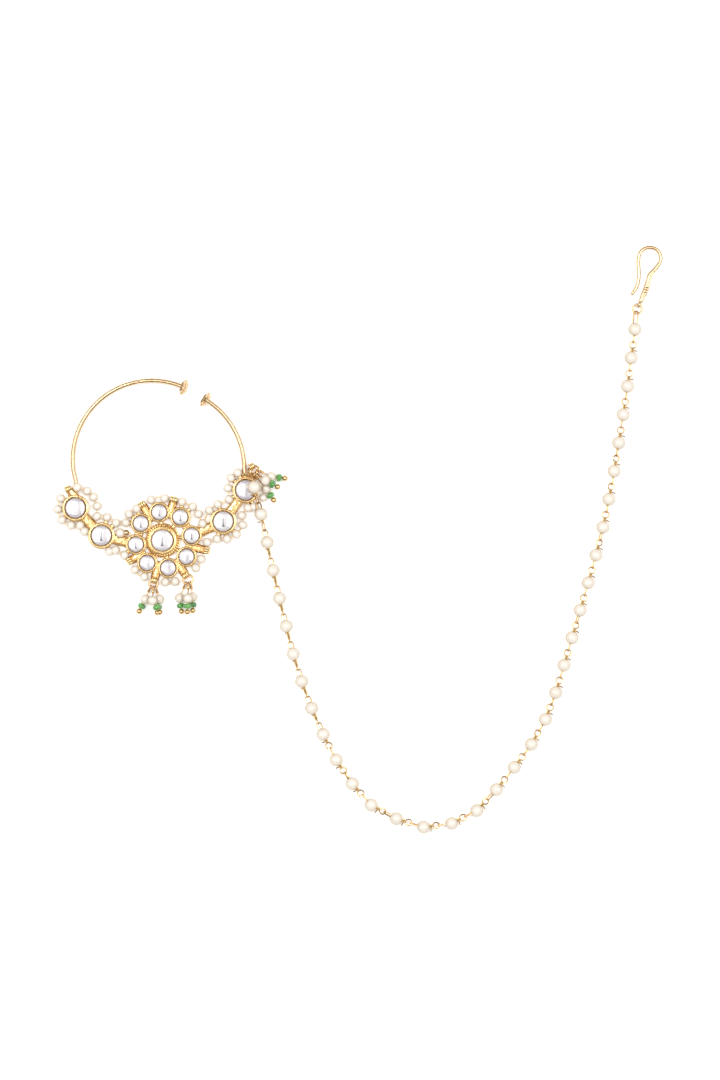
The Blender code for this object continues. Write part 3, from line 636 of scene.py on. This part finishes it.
# lens on x with round lobes, w = 2 |cos(n t / 2)|^q - 1: radius R p (1 - k (1 - w) p), and thickness either side
# h (sqrt(1 - p^4) (a + b sin(pi p) w) + knob), for p from 0 in the middle to 1 at the rim; the knob is a bell curve
def flowerShape():
    rows, columns, lobes = 9, 60, hoop["lobes"]
    t = around(columns)
    out = np.concatenate([np.linspace(0, 1, rows), np.linspace(1, 0, rows)[1:]])
    side = np.concatenate([-np.ones(rows), np.ones(rows - 1)])
    wave = 2 * np.abs(np.cos(lobes * t / 2)) ** hoop["lobePower"] - 1
    radius = hoop["flowerRadius"] * out[:, None] * (1 - hoop["waist"] * (1 - wave) * out[:, None])
    relief = hoop["body"] + hoop["swell"] * np.sin(np.pi * out)[:, None] * wave
    swell = np.abs(1 - out ** 4)[:, None] ** 0.5 * relief
    centreKnob = hoop["knobHeight"] * np.exp(-(out[:, None] / hoop["knobWidth"]) ** 2)
    height = side[:, None] * hoop["flowerThickness"] / 2 * (swell + centreKnob)
    verts = np.stack([height, radius * np.cos(t), radius * np.sin(t)], -1).reshape(-1, 3)
    return verts, gridFaces(len(out), columns)


def makeHoop():
    wires, flowers = [], []
    for half in (hoop["left"], hoop["right"]):
        name, angle = half["root"]
        centre, radius, rim, top = settings[name]
        turn = np.linspace(*half["angles"], hoop["steps"])
        rise = np.linspace(hoop["wire"] / 2 + hoop["lift"], hoop["flowerRadius"], hoop["steps"])
        arc = np.column_stack([polar(half["centre"], half["radius"], turn), rise])
        root = np.array([[*polar(centre, rim - setting["wall"] / 2, angle), hoop["wire"] / 2 + hoop["rootLift"]]])
        path = smoothThrough(np.vstack([root, arc[::hoop["keptSteps"]], arc[-1:]]), 16)
        thick = np.full(len(path), hoop["wire"] / 2)
        spin = np.degrees(np.arctan2(path[:, 1] - half["centre"][1], path[:, 0] - half["centre"][0]))
        if half is hoop["left"]:  # the seam, a shallow notch
            thick = thick * (1 - hoop["seamDepth"] * np.exp(-((spin - hoop["seam"]) / hoop["seamWidth"]) ** 2))
        wires.append(carried(path, thick, 16, ridge=hoop["ridge"]))
        onward = path[-1] - path[-2]
        onward[2] = np.linalg.norm(onward[:2]) * np.tan(np.radians(half["lean"]))
        flowers.append(repeated(flowerShape(), placedAt(arc[-1], onward)))
    makePiece("goldHoop", joined(*wires), polished)
    makePiece("goldFlowers", joined(*flowers), polished)


makeStraps()
makeBarrels()
makeHoop()
print("straps, barrels, hoop and flowers made")


seeds = {
    "radius": 1.43 * mm, "tubeRadius": 1.2 * mm, "wire": 0.36 * mm, "squash": 0.94,
    # a gold tongue lies under a pearl up to this far from a rim, in mm
    "restReach": 0.7, "restWidth": 1.5 * mm, "restTop": 1.0 * mm, "restBite": 0.2 * mm,
    "pairs": ("top", "bottom_left", "bottom", "bottom_right"),  # a pearl at each end only
    # in mm: x, y, z and radius of loose pearls beside the strings, and of a gold one on a wire
    "loose": [(-13.2, 2.3, 1.6, 1.5), (31.4, 13.3, 1.4, 1.25)], "goldOne": (-11.3, 2.4, 1.5, 0.95),
    "goldWire": [(-15.0, 2.5, 1.5), (-13.2, 2.4, 1.6), (-11.1, 2.4, 1.6), (-10.0, 1.6, 1.5)], "goldWireRadius": 0.2,
}

# each string's pearls: setting, angle, and in mm how far the string lies outside the rim and, where it is raised,
# its height
seedStrings = {
    "upper_left": [
        ("left_outer", 84.0, 1.15, 2.85), ("left_outer", 56.0, 1.15, 1.6), ("left_outer", 31.0, 1.25),
        ("left_outer", 5.0, 1.45), ("left_inner", 103.0, 0.85, 1.9), ("left_inner", 73.0, 0.7),
        ("left_inner", 41.0, 0.7), ("petal_4", 177.0, 0.4), ("petal_4", 142.0, 0.5), ("petal_4", 107.0, 0.45),
    ],
    "top": [("petal_3", 124.0, 0.35), ("petal_3", 96.0, 0.45), ("petal_3", 70.0, 0.3)],
    "upper_right": [
        ("petal_2", 84.0, 0.5), ("petal_2", 41.0, 0.7), ("petal_2", 10.0, 1.35), ("petal_1", 48.0, 0.7, 1.6),
        ("right_inner", 142.0, 0.3), ("right_inner", 108.0, 0.35), ("right_outer", 209.0, 0.7, 2.0),
        ("right_outer", 174.0, 0.35), ("right_outer", 141.0, 0.7), ("right_outer", 115.0, 0.65, 1.5),
    ],
    "lower_left": [
        ("left_outer", 147.0, 0.25), ("left_outer", 184.0, 0.35), ("left_outer", 221.0, 0.35),
        ("left_outer", 255.0, 0.3), ("left_outer", 284.5, 0.3), ("left_inner", 166.0, 0.2),
    ],
    "middle_left": [("left_inner", 296.0, 0.25), ("left_inner", 314.0, 1.0), ("petal_5", 223.0, 0.55)],
    "bottom_left": [("petal_6", 209.0, 0.15), ("petal_6", 235.0, 0.35), ("petal_6", 258.0, 0.15)],
    "bottom": [("petal_7", 258.0, 0.2), ("petal_7", 278.0, 0.4), ("petal_7", 297.0, 0.45)],
    "bottom_right": [("petal_8", 309.0, 0.2), ("petal_8", 330.0, 0.35), ("petal_8", 350.5, 0.25)],
    "lower_right": [
        ("petal_1", 337.0, 0.9), ("right_inner", 250.0, 0.5), ("right_inner", 282.0, 0.3),
        ("right_inner", 316.0, 0.4), ("right_inner", 350.0, 0.85), ("right_inner", 18.0, 0.75),
        ("right_outer", 277.0, 0.3), ("right_outer", 297.0, 0.5),
    ],
}


def stringPoints(route):
    rows = []
    for name, angle, out, *height in route:
        centre, radius, rim, top = settings[name]
        rows.append((*polar(centre, rim + out * mm + seeds["tubeRadius"], angle),
                     height[0] * mm if height else seeds["radius"]))
    return np.array(rows)


def makeSeedStrings():
    for name, route in seedStrings.items():
        points = stringPoints(route)
        run = np.gradient(points, axis=0)
        kept = [0, -1] if name in seeds["pairs"] else slice(None)
        pearl = laidAlongX(ball(seeds["radius"], 24, 14, seeds["squash"]))
        pearls = repeated(pearl, placedAt(points[kept], run[kept]))
        makePiece(f"seedPearls_{name}", pearls, seedSkin, [f"seed_string_{name}"])
        wire = carried(smoothThrough(points, 6), seeds["wire"] / 2, 6)
        makePiece(f"seedWire_{name}", wire, wireGold, [f"seed_string_{name}"])


# gold tongues from the rims to the pearls that lie close to them
def makeRests():
    rests = []
    for string, route in seedStrings.items():
        for (name, angle, out, *height), point in zip(route, stringPoints(route)):
            if out <= seeds["restReach"] and string not in seeds["pairs"]:
                centre, radius, rim, top = settings[name]
                start = polar(centre, rim - seeds["restBite"], angle)
                rests.append(strapShape(start, point[:2], seeds["restWidth"], seeds["restTop"]))
    makePiece("goldRests", joined(*rests), castGold)


def makeLoosePearls():
    pearls = [shifted(ball(radius * mm, 24, 14), np.array(place) * mm) for *place, radius in seeds["loose"]]
    makePiece("seedPearls_loose", joined(*pearls), seedSkin, ["gold_frame"])
    *place, radius = seeds["goldOne"]
    bead = shifted(ball(radius * mm, 20, 12), np.array(place) * mm)
    wire = carried(np.array(seeds["goldWire"]) * mm, seeds["goldWireRadius"] * mm, 6)
    makePiece("goldBead", joined(bead, wire), polished)


makeSeedStrings()
makeRests()
makeLoosePearls()
print("strings of seed pearls made")


rings = {
    "wire": 0.56 * mm, "sideRadius": 1.75 * mm, "sideTilt": 40.0, "hookRadius": 1.45 * mm, "firstEyeTurn": 34.0,
}
drops = {
    "wire": 0.46 * mm, "eyeRadius": 0.74 * mm, "pearl": 1.5 * mm, "bead": 1.22 * mm, "beadLength": 1.75 * mm,
    "ball": 0.9 * mm, "ribs": 9, "ribDepth": 0.2, "eyeSlack": 0.1 * mm, "tail": 1.9 * mm, "beadPlace": 0.95 * mm,
    "ballPlace": 0.95, "wrapRadius": 0.3 * mm, "wrapWire": 0.3 * mm, "wrapLength": 1.0 * mm, "wrapTurns": 3,
    "coreRadius": 0.2 * mm, "pinRadius": 0.22 * mm,
    # angle on the jump ring of the name's first word, pearl's x, y and z in mm, turn and dip of the tail
    "places": {
        "left_front": (225.0, -5.3, -18.35, 1.55, -117.5, 4.0),
        "left_top": (268.0, -2.85, -18.7, 4.3, -59.0, 4.0),
        "left_back": (304.0, -0.95, -18.35, 1.55, -99.0, 5.0),
        "right_front": (240.0, 5.35, -17.95, 1.55, -82.0, 4.0),
        "right_top": (276.0, 8.1, -18.0, 4.45, -92.0, 2.0),
        "right_back": (305.0, 9.45, -17.65, 1.55, -90.0, 5.0),
        "side_front": (348.0, 34.0, 19.9, 1.55, -7.0, 4.0),
        "side_top": (315.0, 32.2, 18.6, 3.95, -27.0, 6.0),
        "side_back": (284.0, 32.35, 16.1, 1.55, -56.0, 4.0),
    },
}


# a jump ring through its barrel: centre, radius, direction away from the barrel, and the ring's own x and y
def hungRing(barrel, radius, outward, tilt):
    half = straps["barrelLength"] / 2
    slack = (radius - np.sqrt(radius ** 2 - half ** 2)) / 2
    away = heading(outward, -tilt)
    centre = np.array([*barrel, straps["barrelHeight"]]) + away * (radius - slack)
    return {"centre": centre, "radius": radius, "outward": outward, "x": away, "y": heading(outward + 90)}


def ringPoint(ring, angle):
    turn = np.radians(angle - ring["outward"])
    return ring["centre"] + ring["radius"] * (np.cos(turn) * ring["x"] + np.sin(turn) * ring["y"])


def placeRings():
    placed = {}
    gaps = [(gap, out, ring) for gap, (out, ring) in straps["medallionBarrels"].items() if ring]
    for bunch, (gap, out, ring) in zip(("left", "right"), gaps):
        barrel, turn = gapBarrel(gap, out)
        placed[bunch] = hungRing(barrel, ring * mm, turn, 0.0)
    name, angle, distance, turn, width = straps["settingBarrels"][1]
    barrel = polar(settings[name][0], distance, angle)
    placed["side"] = hungRing(barrel, rings["sideRadius"], turn - 90, rings["sideTilt"])
    return placed


def makeRings(placed):
    for bunch, ring in placed.items():
        shape = wireRing(ring["centre"], ring["radius"], ring["x"], ring["y"], rings["wire"], 40, 10)
        makePiece(f"jumpRing_{bunch}", shape, wireGold, [f"jump_ring_{bunch}"])


# ribbed bead along x: radius b (1 - k (1 - |sin(n t / 2)|)^2) times a barrel curve
def ribbedBead(length):
    steps, ribs = drops["ribs"] * 6, drops["ribs"]
    share = np.linspace(-1, 1, 13)
    curve = (1 - np.abs(share) ** 3.2) ** 0.5 * 0.99 + 0.01
    verts, faces = turned(np.stack([drops["bead"] * curve, share * length / 2], -1), steps)
    t = np.arctan2(verts[:, 1], verts[:, 0])
    groove = 1 - drops["ribDepth"] * (1 - np.abs(np.sin(ribs * t / 2))) ** 2
    return laidAlongX((verts * np.stack([groove, groove, np.ones_like(groove)], -1), faces))


def makeDrops(placed):
    pearlSize, tail = drops["pearl"], drops["pearl"] + drops["tail"]
    for name, (angle, x, y, z, turn, dip) in drops["places"].items():
        ring = placed[name.split("_")[0]]
        wire = ringPoint(ring, angle)
        pearl = np.array([x, y, z]) * mm
        neck = unit(pearl - wire)
        eye = wire + neck * drops["eyeSlack"]
        side = unit(ringPoint(ring, angle + 5) - wire)
        upright = unit(np.cross(side, neck))
        loop = wireRing(eye, drops["eyeRadius"], neck, upright, drops["wire"], 20, 8)
        reach = np.linalg.norm(pearl - eye) - pearlSize
        wrapEnd = min(drops["eyeRadius"] + drops["wrapLength"], reach)
        wrap = coil(drops["eyeRadius"], wrapEnd, drops["wrapRadius"], drops["wrapWire"], drops["wrapTurns"])
        core = carried(np.array([[0.6 * mm, 0, 0], [reach + 0.4 * mm, 0, 0]]), drops["coreRadius"], 8)
        stem = repeated(joined(wrap, core), placedAt(eye, neck))
        along = placedAt(pearl, heading(turn, dip))
        pin = carried(np.array([[pearlSize * 0.8, 0, 0], [tail + 0.5 * mm, 0, 0]]), drops["pinRadius"], 8)
        endBall = shifted(laidAlongX(ball(drops["ball"], 20, 12)), (tail + drops["ball"] * drops["ballPlace"], 0, 0))
        makePiece(f"dropWire_{name}", joined(loop, stem, repeated(joined(pin, endBall), along)), wireGold,
                  [f"drop_{name}"])
        pearlShape = repeated(laidAlongX(ball(pearlSize, 28, 16)), along)
        makePiece(f"dropPearl_{name}", pearlShape, pearlSkin, [f"drop_{name}"])
        bead = shifted(ribbedBead(drops["beadLength"]), (pearlSize + drops["beadPlace"], 0, 0))
        makePiece(f"dropBead_{name}", repeated(bead, along), greenGlass, [f"drop_{name}"])


placedRings = placeRings()
makeRings(placedRings)
makeDrops(placedRings)
print("jump rings and drops made")


hook = {
    "wire": 1.15 * mm, "shankLength": 6.7 * mm, "shankAngle": 249.5, "eyeRadius": 0.88 * mm, "eyeWire": 0.7 * mm,
    # x and y in mm, from the free tip round the bow to the shank
    "route": [
        (146.6, 77.0), (148.0, 79.1), (148.55, 81.5), (148.7, 84.0), (148.5, 86.6),
        (148.85, 89.2), (150.1, 90.9), (152.2, 91.45), (154.2, 90.8), (155.4, 89.0),
        (155.3, 86.9), (153.7, 84.7), (152.0, 82.9), (151.4, 80.7),
    ],
    # start, growth from point to point and end of a wire's radius, in shares of the hook's radius or wire
    "taper": (0.86, 0.012, 1), "secondTaper": (0.16, 0.014, 0.36),
    # second wire: shift in mm beside three points of the bow, then places along and beside the shank
    "bowShifts": [(0.24, -0.12), (0.4, -0.3), (0.4, -0.3)], "shankPlaces": ((0.1, 0.5), (0.45, 0.52), (0.97, 0.3)),
    "bindPlace": (0.42, 0.3), "bindHalf": 1.2 * mm, "bindRadius": 0.76 * mm, "bindWire": 0.4 * mm, "bindTurns": 3,
}


def makeHook():
    level = hook["eyeRadius"] + hook["wire"] * 0.3
    route = np.array(hook["route"]) * mm
    down = heading(hook["shankAngle"])
    across = heading(hook["shankAngle"] + 90)
    end = route[-1] + down[:2] * hook["shankLength"]
    eye = np.array([*(end + down[:2] * hook["eyeRadius"]), level])
    curve = smoothThrough(np.vstack([route, end]), 6)
    path = np.column_stack([curve, np.full(len(curve), level)])
    thin, growth, full = hook["taper"]
    shank = carried(path, hook["wire"] / 2 * np.clip(thin + np.arange(len(path)) * growth, 0, full), 14)
    start = np.array([*route[-1], level])

    def besideShank(share, out):
        return start + down * hook["shankLength"] * share + across * hook["wire"] * out

    bow = np.column_stack([route[-4:-1] + np.array(hook["bowShifts"]) * mm, np.full(3, level)])
    second = smoothThrough(np.vstack([bow, *(besideShank(*place) for place in hook["shankPlaces"])]), 6)
    thin, growth, full = hook["secondTaper"]
    doubled = carried(second, hook["wire"] * np.clip(thin + np.arange(len(second)) * growth, 0, full), 12)
    bind = coil(-hook["bindHalf"], hook["bindHalf"], hook["bindRadius"], hook["bindWire"], hook["bindTurns"], 16)
    bind = repeated(bind, placedAt(besideShank(*hook["bindPlace"]), down))
    loop = wireRing(eye, hook["eyeRadius"], down, (0, 0, 1), hook["eyeWire"], 28, 10)
    makePiece("hairHook", joined(shank, doubled, bind, loop), polished, ["hair_hook"])
    centre = eye + down * rings["hookRadius"]
    ring = wireRing(centre, rings["hookRadius"], down, across, rings["wire"], 40, 10)
    makePiece("jumpRing_hook", ring, wireGold, ["jump_ring_hook"])
    return centre + down * rings["hookRadius"]


hookWire = makeHook()
print("hair hook made")


chain = {
    "pearl": 2.0 * mm, "count": 35, "wire": 0.46 * mm, "neckRadius": 0.42 * mm, "neckWire": 0.44 * mm,
    "eyeHeight": 0.74 * mm, "endEyeHeight": 0.78 * mm, "endSlack": 0.18 * mm, "endRolls": (0, 55), "flatEyes": 9,
    "neckBite": 0.05 * mm, "tailSpin": (150, 200), "tailRadius": 0.42, "tailStart": 2.3 * mm, "tailEnd": 2.15 * mm,
    # loops of the units before a number: their roll, centre, radius and stretch, and the length of the wire's tail
    "loops": [
        (2, (58, 66), 3.95 * mm, 0.8 * mm, 0.65 * mm, 1.6 * mm),
        (9, (76, 86), 4.7 * mm, 0.7 * mm, 0.0, 0.8 * mm),
        (34, (-25, 25), 4.0 * mm, 1.0 * mm, 0.0, 1.55 * mm),
    ],
    # x, y and z in mm
    "route": [
        (28.7, 16.5, 4.75), (30.8, 8.0, 2.6), (36.5, -18.0, 2.05), (43.4, -43.9, 2.05),
        (53.5, -67.2, 2.05), (63.9, -81.3, 2.05), (71.5, -86.1, 2.05), (81.3, -89.4, 2.05),
        (90.4, -88.2, 2.05), (98.0, -84.3, 2.05), (110.1, -70.3, 2.05), (119.8, -55.1, 2.05),
        (128.0, -29.5, 2.05), (137.6, 4.9, 2.05), (143.8, 39.7, 2.05), (147.4, 65.8, 2.05),
    ],
}


# long oval of wire from a pearl towards a wire it holds, upright unless rolled
def eyeShape(reach, height, rollAngle=0.0):
    near = chain["pearl"] - chain["wire"]
    stretch = (reach - near) / 2 - height
    loop = wireRing(((near + reach) / 2, 0, 0), height, (1, 0, 0), (0, 0, 1), chain["wire"], 24, 7, stretch)
    return repeated(loop, rolled(rollAngle))


def makeChain(placed):
    points = evenlyAlong(smoothThrough(np.array(chain["route"]) * mm), chain["count"])
    run = unit(np.diff(points, axis=0))
    run = np.vstack([run, run[-1:]])
    places = placedAt(points, run)
    pearls = repeated(laidAlongX(ball(chain["pearl"], 32, 20)), places)
    makePiece("chainPearls", pearls, pearlSkin, ["pearl_chain"])
    pitch = np.linalg.norm(points[1] - points[0])
    units, necks = [], []
    chance = np.random.default_rng(7)
    for number in range(chain["count"] - 1):
        rolls, centre, radius, stretch, length = next(row[1:] for row in chain["loops"] if number < row[0])
        roll = chance.uniform(*rolls)
        loop = wireRing((centre, 0, 0), radius, (1, 0, 0), (0, 1, 0), chain["wire"], 24, 7, stretch)
        neckStart, neckEnd = chain["pearl"] - chain["neckBite"], centre - radius - stretch
        neckTurns = (neckEnd - neckStart) / chain["neckWire"]
        neck = coil(neckStart, neckEnd, chain["neckRadius"], chain["neckWire"], neckTurns)
        spin = np.radians(chance.uniform(*chain["tailSpin"]))
        reach = length * np.array([0, np.cos(spin), abs(np.sin(spin))])
        tailRoot = [chain["tailStart"], 0, 0]
        tailPath = np.array([tailRoot, tailRoot + reach * 0.5, [chain["tailEnd"], 0, 0] + reach])
        tail = carried(tailPath, chain["wire"] * chain["tailRadius"], 6, up=(1, 0, 0))
        here = places[number:number + 1]
        units.append(repeated(joined(repeated(loop, rolled(roll)), tail), here))
        necks.append(repeated(neck, here))
        back = placedAt(points[number + 1], points[number] - points[number + 1])
        eye = eyeShape(pitch - centre - radius - stretch + chain["wire"], chain["eyeHeight"],
                       90 if number < chain["flatEyes"] else roll)
        units.append(repeated(eye, back))
    firstWire = ringPoint(placed["side"], placed["side"]["outward"] - rings["firstEyeTurn"])
    for number, wire, roll in zip((0, chain["count"] - 1), (firstWire, hookWire), chain["endRolls"]):
        reach = np.linalg.norm(wire - points[number]) + rings["wire"] / 2 + chain["endSlack"] + chain["wire"] / 2
        eye = eyeShape(reach, chain["endEyeHeight"], roll)
        units.append(repeated(eye, placedAt(points[number], wire - points[number])))
    makePiece("chainWire", joined(*units), wireGold, ["pearl_chain"])
    makePiece("chainNecks", joined(*necks), castGold, ["pearl_chain"])


makeChain(placedRings)
print("pearl chain made")


studio = {
    "floorSize": 4.0, "floorTone": 0.98, "toneStep": 0.02, "toneScale": 40, "floorGlow": 0.25,
    "world": 0.35, "worldColour": (1, 0.99, 0.97, 1),
    "camera": {"middle": (0.06164, 0.000125), "tall": 0.3375, "lens": 100.0, "sensor": 36.0},
    # name: place, size, power in watts
    "lamps": {
        "leftPanel": ((-0.63, 0.1, 1.15), 1.2, 8.3),
        "rightPanel": ((0.63, 0.05, 1.15), 1.2, 8.3),
        "leftLamp": ((-0.42, 0.2, 1.15), 0.22, 2.4),
        "rightLamp": ((0.4, 0.12, 1.15), 0.22, 1.8),
    },
}


def makeStudio():
    scene = bpy.context.scene
    scene.view_settings.view_transform = "Standard"
    half = studio["floorSize"] / 2
    mesh = bpy.data.meshes.new("floor")
    mesh.from_pydata([(-half, -half, 0), (half, -half, 0), (half, half, 0), (-half, half, 0)], [], [(0, 1, 2, 3)])
    floor = linked("floor", mesh)
    paper = Finish("paper", Roughness=0.9, Specular_IOR_Level=0.1, Emission_Color=(1, 1, 1, 1),
                   Emission_Strength=studio["floorGlow"])
    tone = studio["floorTone"]
    bright, deep = [tone] * 3, [tone - studio["toneStep"]] * 3
    paper.feed("Base Color", paper.blend(paper.noise(studio["toneScale"], 3), bright, deep))
    mesh.materials.append(paper.material)
    world = bpy.data.worlds.new("softRoom")
    world.use_nodes = True
    background = world.node_tree.nodes["Background"]
    background.inputs[0].default_value = studio["worldColour"]
    background.inputs[1].default_value = studio["world"]
    scene.world = world
    middle = np.array([*studio["camera"]["middle"], 0])
    for name, (place, size, power) in studio["lamps"].items():
        lamp = bpy.data.lights.new(name, "AREA")
        lamp.size, lamp.energy = size, power
        linked(name, lamp).matrix_world = lookingFrom(middle + place, middle)
    view = studio["camera"]
    camera = bpy.data.cameras.new("camera")
    camera.lens, camera.sensor_width, camera.clip_start = view["lens"], view["sensor"], 0.01
    scene.camera = linked("camera", camera)
    scene.camera.location = (*view["middle"], view["tall"] * view["lens"] / view["sensor"])


# matrix of a lamp at a point, its -z towards another
def lookingFrom(place, target):
    z = unit(np.asarray(place, float) - target)
    x = unit(np.cross((0, 1, 0), z))
    matrix = np.eye(4)
    matrix[:3, 0], matrix[:3, 1], matrix[:3, 2], matrix[:3, 3] = x, np.cross(z, x), z, place
    return Matrix(matrix.tolist())


makeStudio()
